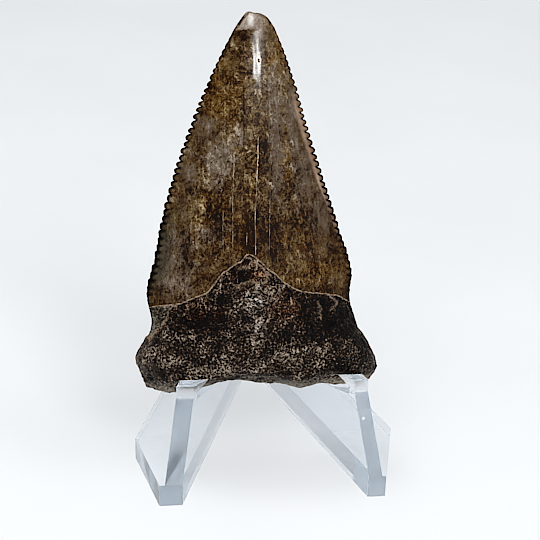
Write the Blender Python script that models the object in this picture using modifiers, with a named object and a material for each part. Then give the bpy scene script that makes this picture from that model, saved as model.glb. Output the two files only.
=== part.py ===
# Fossil great white shark tooth, standing root down on a one-piece clear acrylic display stand.
# Metres, +Z up. The stand's feet point to -Y and the whole object rests on the ground at Z = 0,
# with the origin in the middle of its footprint.

from math import cos, radians, sin, tan

import bmesh
import bpy
import numpy as np
from mathutils import Matrix

MM = 0.001
GAP = 0.3 * MM  # between the tooth and the stand that it rests on

# Stand, seen from above: two straight legs that meet in a V at the back
SIGN = {"left": -1.0, "right": 1.0}
FOOT_HALF_GAP = 12.2 * MM  # middle of the stand to a leg's inner face, at the front
LEG_ANGLE = radians(19.8)  # each leg turns inwards by this much
STAND_DEPTH = 36.0 * MM
BASE_THICKNESS = 3.2 * MM
FOOT_WIDTH = {"left": 3.0 * MM, "right": 2.3 * MM}
WALL_WIDTH = {"left": 2.3 * MM, "right": 1.8 * MM}  # along X
FLANGE_CORNER_OUT = 2.65 * MM  # from the foot's outer corner to the flange's, along X
FLANGE_CORNER_BACK = 11.15 * MM  # the same, along Y
EDGE_RADIUS = 0.15 * MM

# Stand, seen from the side
STRIP_RUN = 4.8 * MM  # the sloping front edge, from the foot back to the lip
STRIP_TOP = 13.5 * MM
LIP_TOP = 15.1 * MM
LIP_DEPTH = 1.6 * MM
LIP_FLARE = 1.4 * MM  # a small bracket widens the lip this far inside the wall
LIP_FLARE_HEIGHT = 1.7 * MM
BACKREST_LEAN = radians(18)
BACKREST_TOP = 36.0 * MM
BACKREST_LAND = 3.0 * MM  # the flat top of the backrest
SPINE_TOP = 30.0 * MM

# Tooth: u to the right, v up along the tooth, w towards the front, which is its bulging side
TOOTH_LEAN = radians(20)
TOOTH_AT = np.array([-1.5, 10.9, 10.9]) * MM  # u = v = w = 0, seen from the stand's middle
# The outline's left and right edges, (u, v) in mm, from the root's corner to the worn tip
LEFT_EDGE = [(-14.7, 0.6), (-15.8, 2.9), (-16.1, 4.7), (-15.3, 6.2), (-14.3, 7.6), (-13.9, 9.1),
             (-14.4, 12.3), (-13.4, 17.8), (-12.2, 23.2), (-9.8, 30.6), (-7.4, 36.8), (-4.7, 42.8),
             (-2.2, 47.2)]
RIGHT_EDGE = [(15.1, 0.6), (16.4, 2.0), (16.2, 3.9), (15.4, 5.4), (13.6, 8.2), (12.5, 11.0),
              (12.7, 15.4), (11.1, 21.2), (9.2, 26.8), (7.0, 33.8), (5.4, 40.2), (4.0, 44.0), (2.7, 47.4)]
ROOT_BASE = [(-14.7, 0.6), (-12.9, 0.0), (-8.0, 0.4), (-4.5, 1.2), (-0.5, 1.1), (3.0, 0.6), (5.5, 0.0),
             (7.5, 0.4), (11.5, 0.1), (15.1, 0.6)]
WORN_TIP = [(-2.2, 47.2), (-0.4, 49.5), (1.7, 48.7), (2.7, 47.4)]
# How far the front and the back stand out from the cutting edges, (v, w) in mm
FRONT_DEPTH = [(0.0, 4.8), (2.5, 6.0), (6.0, 6.8), (9.0, 6.6), (12.0, 6.0), (20.0, 5.1), (28.0, 4.1),
               (36.0, 3.0), (42.0, 2.1), (46.0, 1.5), (49.5, 1.0)]
BACK_DEPTH = [(0.0, 2.8), (5.0, 3.0), (14.0, 2.3), (28.0, 1.9), (40.0, 1.2), (46.0, 0.8), (49.5, 0.5)]
ENAMEL_FROM, ENAMEL_FULL = 7.5, 12.0  # v in mm: the round root's sides turn into cutting edges
ROOT_ROUNDING, TIP_ROUNDING = 2.8, 1.6  # mm
SERRATION_COUNT = 41  # along each cutting edge, just under 1 mm apart
SERRATION_DEPTH = 0.38  # mm
SERRATION_FROM, SERRATION_FULL = 11.5, 16.5  # v in mm
SERRATION_FADE, SERRATION_END = 45.5, 46.8  # v in mm
# Places from 0 to 1 along each side, from the root's corner to the tip
ROOT_SHARE = 0.235  # the round root ends and the cutting edge starts
BASE_BEND, TIP_BEND = 0.12, 0.95  # rows below and above these bend to the root's base and to the tip
ROWS_PER_SERRATION = 3
ROOT_ROWS, COLUMNS = 12, 10


def clear_scene():
    for old in list(bpy.data.objects):
        bpy.data.objects.remove(old, do_unlink=True)


def new_collection(name):
    collection = bpy.data.collections.new(name)
    bpy.context.scene.collection.children.link(collection)
    return collection


def new_material(name, colour, roughness, transmission=0.0, ior=1.5):
    material = bpy.data.materials.new(name)
    material.use_nodes = True
    shader = material.node_tree.nodes["Principled BSDF"]
    shader.inputs["Base Color"].default_value = (*colour, 1.0)
    shader.inputs["Metallic"].default_value = 0.0
    shader.inputs["Roughness"].default_value = roughness
    shader.inputs["Transmission Weight"].default_value = transmission
    shader.inputs["IOR"].default_value = ior
    return material


def object_from(bm, name, collection):
    mesh = bpy.data.meshes.new(name)
    bmesh.ops.recalc_face_normals(bm, faces=bm.faces)
    bm.to_mesh(mesh)
    bm.free()
    piece = bpy.data.objects.new(name, mesh)
    collection.objects.link(piece)
    return piece


def prism(name, outline, along, collection):
    """A flat outline pushed along a vector, as one closed solid."""
    bm = bmesh.new()
    face = bm.faces.new([bm.verts.new(point) for point in outline])
    pushed = bmesh.ops.extrude_face_region(bm, geom=[face])["geom"]
    bmesh.ops.translate(bm, vec=along, verts=[v for v in pushed if isinstance(v, bmesh.types.BMVert)])
    return object_from(bm, name, collection)


def join_to(base, other):
    union = base.modifiers.new(other.name, "BOOLEAN")
    union.operation = "UNION"
    union.object = other
    other.hide_render = True
    other.display_type = "WIRE"


# The tooth's own axes in the stand's space
TOOTH_RIGHT = np.array([1.0, 0.0, 0.0])
TOOTH_UP = np.array([0.0, sin(TOOTH_LEAN), cos(TOOTH_LEAN)])
TOOTH_FRONT = np.array([0.0, -cos(TOOTH_LEAN), sin(TOOTH_LEAN)])


def footprint_middle():
    """The X and Y of the footprint's middle, measured from the stand's own middle at the front."""
    reach = {side: FOOT_HALF_GAP + FOOT_WIDTH[side] + FLANGE_CORNER_OUT for side in FOOT_WIDTH}
    return np.array([(reach["right"] - reach["left"]) / 2, STAND_DEPTH / 2, 0.0])


def shelf_height(y):
    """The shelf under the tooth's base, square to the tooth."""
    return TOOTH_AT[2] - GAP / cos(TOOTH_LEAN) - (y - TOOTH_AT[1]) * tan(TOOTH_LEAN)


def backrest_at(z):
    """The y of the sloping edge that the tooth's back leans on."""
    root_back = (BACK_DEPTH[1][1] * MM + GAP) / cos(TOOTH_LEAN)
    return TOOTH_AT[1] + root_back + (z - TOOTH_AT[2]) * tan(BACKREST_LEAN)


def side_profile():
    """A wall's outline as (y, z): foot, sloping strip, lip, shelf, backrest and spine."""
    lip_back = STRIP_RUN + LIP_DEPTH
    notch_y = backrest_at(shelf_height(backrest_at(TOOTH_AT[2])))
    backrest_y = backrest_at(BACKREST_TOP)
    return [
        (0.0, 0.0),
        (0.0, BASE_THICKNESS),
        (STRIP_RUN, STRIP_TOP),
        (STRIP_RUN, LIP_TOP),
        (lip_back, LIP_TOP),
        (lip_back, shelf_height(lip_back)),
        (notch_y, shelf_height(notch_y)),
        (backrest_y, BACKREST_TOP),
        (backrest_y + BACKREST_LAND, BACKREST_TOP),
        (STAND_DEPTH, SPINE_TOP),
        (STAND_DEPTH, 0.0),
    ]


def inner_x(sign, y):
    """The x of a leg's inner face, y behind the feet."""
    return sign * (FOOT_HALF_GAP - y * tan(LEG_ANGLE))


def build_leg(side, collection, cutters):
    """One leg: a wall, the flange outside its foot, and the bracket inside its lip."""
    sign = SIGN[side]
    outline = [(inner_x(sign, y), y, z) for y, z in side_profile()]
    wall = prism(f"wall_{side}", outline, (sign * WALL_WIDTH[side], 0.0, 0.0), collection)

    foot_x = sign * (FOOT_HALF_GAP + FOOT_WIDTH[side])
    corner_x = foot_x + sign * FLANGE_CORNER_OUT
    back_x = corner_x - sign * (STAND_DEPTH - FLANGE_CORNER_BACK) * tan(LEG_ANGLE)
    plan = [(inner_x(sign, 0.0), 0.0), (foot_x, 0.0), (corner_x, FLANGE_CORNER_BACK),
            (back_x, STAND_DEPTH), (inner_x(sign, STAND_DEPTH), STAND_DEPTH)]
    upright = (0.0, 0.0, BASE_THICKNESS)
    flange = prism(f"flange_{side}", [(x, y, 0.0) for x, y in plan], upright, cutters)
    join_to(wall, flange)
    join_to(wall, build_bracket(side, cutters))
    return wall


def build_bracket(side, cutters):
    """The bracket inside a lip: as wide as its flare at the top, and nothing at its foot."""
    sign = SIGN[side]
    inside, buried = -sign * LIP_FLARE, sign * WALL_WIDTH[side] / 2
    front, back = STRIP_RUN, STRIP_RUN + LIP_DEPTH
    foot = LIP_TOP - LIP_FLARE_HEIGHT
    corners = [(front, 0.0, LIP_TOP), (back, inside, LIP_TOP), (back, buried, LIP_TOP),
               (front, buried, LIP_TOP), (front, 0.0, foot), (back, 0.0, foot), (back, buried, foot),
               (front, buried, foot)]
    bm = bmesh.new()
    for y, step, z in corners:
        bm.verts.new((inner_x(sign, y) + step, y, z))
    bmesh.ops.convex_hull(bm, input=bm.verts)
    return object_from(bm, f"bracket_{side}", cutters)


def build_stand(collection, cutters, middle):
    stand = build_leg("left", collection, cutters)
    right = build_leg("right", cutters, cutters)
    join_to(stand, right)
    stand.name = "display_stand"
    stand.data.name = "display_stand"
    for piece in [stand, *cutters.objects]:
        piece.data.transform(Matrix.Translation(-middle))
    soften = stand.modifiers.new("edges", "BEVEL")
    soften.width = EDGE_RADIUS
    soften.segments = 2
    soften.limit_method = "ANGLE"
    soften.angle_limit = radians(25)
    stand.data.materials.append(new_material("clear_acrylic", (0.86, 0.90, 0.94), 0.03, 1.0, 1.49))
    return stand


def smooth_curve(points, places):
    """Points at places 0 to 1 along a smooth curve through the given points, by length."""
    points = np.array(points)
    steps = np.linalg.norm(np.diff(points, axis=0), axis=1)
    at = np.concatenate([[0.0], np.cumsum(steps)]) / steps.sum()
    slopes = np.gradient(points, at, axis=0)
    index = np.clip(np.searchsorted(at, places, side="right") - 1, 0, len(steps) - 1)
    width = (at[index + 1] - at[index])[:, None]
    t = ((places - at[index]) / width[:, 0])[:, None]
    return ((2 * t**3 - 3 * t**2 + 1) * points[index] + (t**3 - 2 * t**2 + t) * width * slopes[index]
            + (3 * t**2 - 2 * t**3) * points[index + 1] + (t**3 - t**2) * width * slopes[index + 1])


def smooth_step(low, high, value):
    t = np.clip((value - low) / (high - low), 0.0, 1.0)
    return t * t * (3 - 2 * t)


def round_over(distance, radius):
    """0 at an edge and 1 from radius inwards, along a quarter circle."""
    return np.sqrt(1 - (1 - np.clip(distance / radius, 0.0, 1.0))**2)


def row_places():
    """Places 0 to 1 up the tooth's sides: close at the root's base, then evenly up the cutting edge."""
    root = ROOT_SHARE * np.linspace(0.0, 1.0, ROOT_ROWS, endpoint=False)**1.3
    edge = np.linspace(ROOT_SHARE, 1.0, SERRATION_COUNT * ROWS_PER_SERRATION + 1)
    return np.concatenate([root, edge])


def serration(places, v):
    """How far each row stands out from the smooth cutting edge, in mm: round beads, fine at both ends."""
    phase = (places - ROOT_SHARE) / (1.0 - ROOT_SHARE) * SERRATION_COUNT
    bead = np.abs(np.sin(np.pi * phase))**0.6
    fading_in = smooth_step(SERRATION_FROM, SERRATION_FULL, v)
    fading_out = 1 - smooth_step(SERRATION_FADE, SERRATION_END, v)
    mean_bead = 0.6
    return SERRATION_DEPTH * fading_in * fading_out * (bead - mean_bead)


def outline_grid(places, across):
    """Rows of (u, v) between the tooth's left and right edges, in mm."""
    left, right = smooth_curve(LEFT_EDGE, places), smooth_curve(RIGHT_EDGE, places)
    share = (across + 1) / 2
    grid = left[:, None] * (1 - share)[:, None] + right[:, None] * share[:, None]
    low_bend = (1 - np.clip(places / BASE_BEND, 0, 1))**2
    high_bend = np.clip((places - TIP_BEND) / (1 - TIP_BEND), 0, 1)**2
    grid += (smooth_curve(ROOT_BASE, share) - grid[0]) * low_bend[:, None, None]
    grid += (smooth_curve(WORN_TIP, share) - grid[-1]) * high_bend[:, None, None]
    grid[:, 0, 0] -= serration(places, left[:, 1])
    grid[:, -1, 0] += serration(places, right[:, 1])
    return grid


def depths(grid, across):
    """How far the front and the back stand out at each point of the grid, in mm."""
    v, tau = grid[..., 1], np.abs(across)
    blade = smooth_step(ENAMEL_FROM, ENAMEL_FULL, v)
    ends = round_over(v - v[0], ROOT_ROUNDING) * round_over(v[-1] - v, TIP_ROUNDING)
    front_side = (1 - blade) * np.sqrt(1 - tau**3) + blade * (1 - tau**2.1)
    back_side = (1 - blade) * np.sqrt(1 - tau**4) + blade * (1 - tau**3.5)
    front = np.interp(v, *np.transpose(FRONT_DEPTH)) * front_side * ends
    back = np.interp(v, *np.transpose(BACK_DEPTH)) * back_side * ends
    return front, -back


def add_sheet(bm, grid, depth, middle, rim):
    """One side of the tooth, as a grid of faces. The points on its rim are kept for the other side."""
    rows, columns = depth.shape
    points = {}
    for i in range(rows):
        for j in range(columns):
            on_rim = i in (0, rows - 1) or j in (0, columns - 1)
            if on_rim and (i, j) in rim:
                points[i, j] = rim[i, j]
                continue
            w = 0.0 if on_rim else depth[i, j]
            along = grid[i, j, 0] * TOOTH_RIGHT + grid[i, j, 1] * TOOTH_UP + w * TOOTH_FRONT
            points[i, j] = bm.verts.new(TOOTH_AT + along * MM - middle)
            if on_rim:
                rim[i, j] = points[i, j]
    for i in range(rows - 1):
        for j in range(columns - 1):
            bm.faces.new([points[i, j], points[i, j + 1], points[i + 1, j + 1], points[i + 1, j]])


def build_tooth(collection, middle):
    """Front and back sheets over one outline, lofted row by row from the root's base to the tip."""
    across = np.sin(np.linspace(-1.0, 1.0, COLUMNS + 1) * np.pi / 2)
    grid = outline_grid(row_places(), across)
    bm = bmesh.new()
    rim = {}
    for depth in depths(grid, across):
        add_sheet(bm, grid, depth, middle, rim)
    tooth = object_from(bm, "fossil_tooth", collection)
    tooth.data.shade_smooth()
    tooth.data.materials.append(new_material("fossil_enamel_and_root", (0.09, 0.06, 0.04), 0.35))
    return tooth


def main():
    clear_scene()
    collection = new_collection("shark_tooth_on_stand")
    cutters = new_collection("stand_shapes")
    middle = footprint_middle()
    build_stand(collection, cutters, middle)
    build_tooth(collection, middle)


main()
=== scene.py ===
# Fossil great white shark tooth on its clear acrylic stand: the looks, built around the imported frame.
# Lengths are written in millimetres and turned to metres where meshes are made.

from functools import partial
from math import cos, pi, radians, sin

import bpy
import numpy as np
from mathutils import Matrix, Vector, noise


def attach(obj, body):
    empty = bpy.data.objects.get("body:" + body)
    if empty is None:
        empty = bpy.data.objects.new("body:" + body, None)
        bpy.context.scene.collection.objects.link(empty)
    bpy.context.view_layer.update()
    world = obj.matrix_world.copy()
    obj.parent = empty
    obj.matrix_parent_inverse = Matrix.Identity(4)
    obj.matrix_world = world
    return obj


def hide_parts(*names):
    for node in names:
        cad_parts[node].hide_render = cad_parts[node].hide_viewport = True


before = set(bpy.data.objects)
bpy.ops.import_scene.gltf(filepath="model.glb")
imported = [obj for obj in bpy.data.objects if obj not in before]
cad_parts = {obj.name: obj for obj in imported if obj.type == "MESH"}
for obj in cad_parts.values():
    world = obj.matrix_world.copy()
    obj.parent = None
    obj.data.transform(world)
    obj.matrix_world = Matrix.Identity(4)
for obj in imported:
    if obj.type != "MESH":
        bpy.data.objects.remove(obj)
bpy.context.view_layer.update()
mm = 0.001
scene = bpy.context.scene


def linearColour(hexText):
    # sRGB hex to the linear values that shaders want
    parts = [int(hexText[i:i + 2], 16) / 255 for i in (1, 3, 5)]
    linear = [p / 12.92 if p <= 0.04045 else ((p + 0.055) / 1.055) ** 2.4 for p in parts]
    return (*linear, 1.0)


def addObject(name, data):
    added = bpy.data.objects.new(name, data)
    scene.collection.objects.link(added)
    return added


def newMaterial(name):
    material = bpy.data.materials.new(name)
    material.use_nodes = True
    return material, material.node_tree, material.node_tree.nodes["Principled BSDF"]


def fillInputs(tree, node, inputs):
    # each input is either linked to a node's output or set to a value
    for name, value in inputs.items():
        if isinstance(value, bpy.types.NodeSocket):
            tree.links.new(value, node.inputs[name])
        else:
            node.inputs[name].default_value = value


def addNode(tree, kind, settings, inputs, give=0):
    # one node with its settings and its inputs; one of its outputs comes back
    node = tree.nodes.new(kind)
    for name, value in settings.items():
        setattr(node, name, value)
    fillInputs(tree, node, inputs)
    return node.outputs[give]


def fillRamp(output, stops):
    elements = output.node.color_ramp.elements
    while len(elements) < len(stops):
        elements.new(0.5)
    for element, (position, hexText) in zip(elements, stops):
        element.position = position
        element.color = linearColour(hexText)
    return output


def fillCurve(output, points):
    # straight pieces through points whose two numbers both run from 0 to 1
    mapping = output.node.mapping
    curve = mapping.curves[0]
    curve.points[0].location = points[0]
    curve.points[-1].location = points[-1]
    for point in points[1:-1]:
        curve.points.new(*point)
    for point in curve.points:
        point.handle_type = "VECTOR"
    mapping.update()
    return output


def fadeBy(tree, value, measure, low, high, least=0.0, most=1.0):
    # the value times a share that eases from least, where the measure is at low, to most, where it is at high
    share = addNode(tree, "ShaderNodeMapRange", {"interpolation_type": "SMOOTHSTEP"},
                    {"Value": measure, "From Min": low, "From Max": high, "To Min": least, "To Max": most})
    return addNode(tree, "ShaderNodeMath", {"operation": "MULTIPLY"}, {0: value, 1: share})


def addLayers(tree, total, layers):
    # the total plus each layer times its gain
    for layer, gain in layers:
        total = addNode(tree, "ShaderNodeMath", {"operation": "MULTIPLY_ADD"}, {0: layer, 1: gain, 2: total})
    return total


def paintOver(tree, colour, coats):
    # each coat is laid over the ones before by its share, and is a hex colour or a node's output
    for share, coat in coats:
        coat = linearColour(coat) if isinstance(coat, str) else coat
        colour = addNode(tree, "ShaderNodeMix", {"data_type": "RGBA"}, {0: share, 6: colour, 7: coat}, 2)
    return colour


def smoothStep(low, high, value):
    t = np.clip((value - low) / (high - low), 0.0, 1.0)
    return t * t * (3 - 2 * t)


def roundOver(distance, radius):
    # 0 at an edge, 1 from the radius inwards, along a quarter circle
    return np.sqrt(1 - (1 - np.clip(distance / radius, 0.0, 1.0)) ** 2)


def smoothCurve(points, places):
    # points at places 0 to 1 along a smooth curve through the given ones, by length
    points = np.array(points)
    steps = np.linalg.norm(np.diff(points, axis=0), axis=1)
    at = np.concatenate([[0.0], np.cumsum(steps)]) / steps.sum()
    slopes = np.gradient(points, at, axis=0)
    index = np.clip(np.searchsorted(at, places, side="right") - 1, 0, len(steps) - 1)
    width = (at[index + 1] - at[index])[:, None]
    t = ((places - at[index]) / width[:, 0])[:, None]
    return ((2 * t**3 - 3 * t**2 + 1) * points[index] + (t**3 - 2 * t**2 + t) * width * slopes[index]
            + (3 * t**2 - 2 * t**3) * points[index + 1] + (t**3 - t**2) * width * slopes[index + 1])


def lineDistance(u, v, points):
    # distance in mm from each (u, v) to a chain of straight pieces
    nearest = np.full(u.shape, 1e9)
    for (u0, v0), (u1, v1) in zip(points[:-1], points[1:]):
        du, dv = u1 - u0, v1 - v0
        along = np.clip(((u - u0) * du + (v - v0) * dv) / (du * du + dv * dv), 0, 1)
        nearest = np.minimum(nearest, np.hypot(u - u0 - along * du, v - v0 - along * dv))
    return nearest


def noiseField(places, scale, octaves=1, stretch=(1, 1, 1), shift=0.0):
    # Perlin noise, about -1 to 1, at each place; scale is how many bumps there are to a mm
    scaled = places * (np.array(stretch) * scale) + shift
    if octaves == 1:
        return np.array([noise.noise(Vector(p)) for p in scaled])
    return np.array([noise.fractal(Vector(p), 0.9, 2.1, octaves) for p in scaled])


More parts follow.
